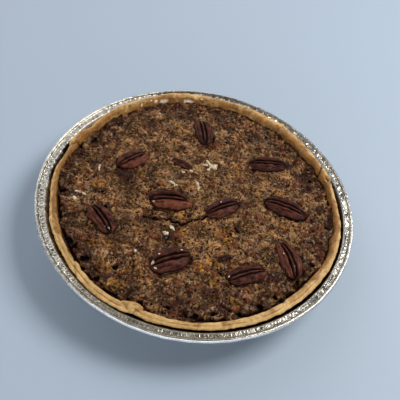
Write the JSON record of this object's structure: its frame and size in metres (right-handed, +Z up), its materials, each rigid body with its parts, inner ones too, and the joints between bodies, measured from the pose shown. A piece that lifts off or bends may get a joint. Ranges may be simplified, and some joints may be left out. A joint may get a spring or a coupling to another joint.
{
  "type": "pecan pie",
  "caption": "Round baked pecan pie in its crimped foil tin, with a folded pastry rim and a craggy browned filling set with pecan halves.",
  "frame": {"origin": "on the table under the middle of the tin", "axes": "+Z up out of the pie; -Y towards the side where the pastry rim is lowest"},
  "size_m": [0.244, 0.244, 0.0369],
  "materials": {
    "foil": "bright rolled foil, finely crimped on its flat band",
    "pastry": "baked golden pastry, satin with small glossy patches",
    "filling": "baked nut custard, mottled brown, porous and craggy, slightly sticky",
    "pecan": "roasted pecan skin, dark maroon brown, satin"
  },
  "bodies": {
    "root": {"foil_tin": "foil", "pastry_crust": "pastry", "pecan_filling": "filling", "pecan_half_01": "pecan", "pecan_half_02": "pecan", "pecan_half_03": "pecan", "pecan_half_04": "pecan", "pecan_half_05": "pecan", "pecan_half_06": "pecan", "pecan_half_07": "pecan", "pecan_half_08": "pecan", "pecan_half_09": "pecan", "pecan_half_10": "pecan", "pecan_chip_01": "pecan"}
  },
  "joints": []
}
